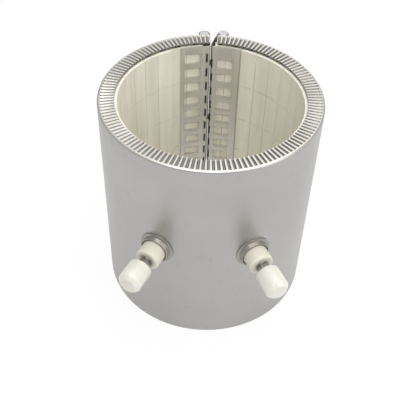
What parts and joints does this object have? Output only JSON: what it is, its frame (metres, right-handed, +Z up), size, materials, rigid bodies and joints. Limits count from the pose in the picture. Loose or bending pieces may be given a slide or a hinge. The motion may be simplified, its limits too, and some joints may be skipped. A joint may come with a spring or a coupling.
{
  "type": "band heater",
  "caption": "One-piece ceramic band heater: a split steel ring with pleated rims, lined with ceramic tiles, with two capped stud terminals and a screw clamp at the gap.",
  "frame": {"origin": "centre of the bore at the plane that the band stands on", "axes": "+Z up along the barrel axis; the clamping gap faces +Y and the terminals face -Y"},
  "size_m": [0.193, 0.2407, 0.205],
  "materials": {
    "stainless_sheet": "satin rolled stainless sheet",
    "strap_sheet": "dull rolled stainless sheet",
    "tile_ceramic": "matt cream unglazed ceramic",
    "bush_ceramic": "matt cream unglazed ceramic",
    "cap_ceramic": "white glaze",
    "fibre": "white refractory fibre mat",
    "coil_wire": "oxidised resistance wire",
    "fastener_steel": "bright zinc plated steel",
    "pin_steel": "turned steel"
  },
  "bodies": {
    "heater": {"outer_shell": "stainless_sheet", "insulation_lining": "fibre", "heating_coil": "coil_wire", "tile_row_1": "tile_ceramic", "tile_row_2": "tile_ceramic", "tile_row_3": "tile_ceramic", "tile_row_4": "tile_ceramic", "tile_row_5": "tile_ceramic", "left_end_strap": "strap_sheet", "right_end_strap": "strap_sheet", "left_clamp_pin": "pin_steel", "right_clamp_pin": "pin_steel", "left_terminal_seat": "strap_sheet", "left_terminal_stud": "fastener_steel", "left_inner_bush": "bush_ceramic", "left_outer_bush": "bush_ceramic", "left_plain_washer": "fastener_steel", "left_hex_nut": "fastener_steel", "right_terminal_seat": "strap_sheet", "right_terminal_stud": "fastener_steel", "right_inner_bush": "bush_ceramic", "right_outer_bush": "bush_ceramic", "right_plain_washer": "fastener_steel", "right_hex_nut": "fastener_steel"},
    "left_cap_washer_pair": {"left_cap_washers": "fastener_steel"},
    "left_cap": {"left_ceramic_cap": "cap_ceramic"},
    "right_cap_washer_pair": {"right_cap_washers": "fastener_steel"},
    "right_cap": {"right_ceramic_cap": "cap_ceramic"},
    "screw_1": {"clamp_screw_1": "fastener_steel"},
    "screw_2": {"clamp_screw_2": "fastener_steel"},
    "screw_3": {"clamp_screw_3": "fastener_steel"}
  },
  "joints": [
    {"name": "left_cap_travel", "type": "slide", "parent": "heater", "child": "left_cap_washer_pair", "axis": [-0.4289, -0.9033, 0], "range_m": [0, 0.014]},
    {"name": "left_cap_turn", "type": "hinge", "parent": "left_cap_washer_pair", "child": "left_cap", "pos_m": [-0.05718, -0.12041, 0.107], "axis": [-0.4289, -0.9033, 0], "range_deg": [0, 5040]},
    {"name": "right_cap_travel", "type": "slide", "parent": "heater", "child": "right_cap_washer_pair", "axis": [0.4289, -0.9033, 0], "range_m": [0, 0.014]},
    {"name": "right_cap_turn", "type": "hinge", "parent": "right_cap_washer_pair", "child": "right_cap", "pos_m": [0.05718, -0.12041, 0.107], "axis": [0.4289, -0.9033, 0], "range_deg": [0, 5040]},
    {"name": "screw_1_turn", "type": "hinge", "parent": "heater", "child": "screw_1", "pos_m": [0.012, 0.1015, 0.035], "axis": [1, 0, 0], "range_deg": [-1800, 2880]},
    {"name": "screw_2_turn", "type": "hinge", "parent": "heater", "child": "screw_2", "pos_m": [0.012, 0.1015, 0.1025], "axis": [1, 0, 0], "range_deg": [-1800, 2880]},
    {"name": "screw_3_turn", "type": "hinge", "parent": "heater", "child": "screw_3", "pos_m": [0.012, 0.1015, 0.17], "axis": [1, 0, 0], "range_deg": [-1800, 2880]}
  ],
  "couplings": [
    {"joint": "left_cap_travel", "follows": "left_cap_turn", "m_per_rad": 0.00015915},
    {"joint": "right_cap_travel", "follows": "right_cap_turn", "m_per_rad": 0.00015915}
  ]
}
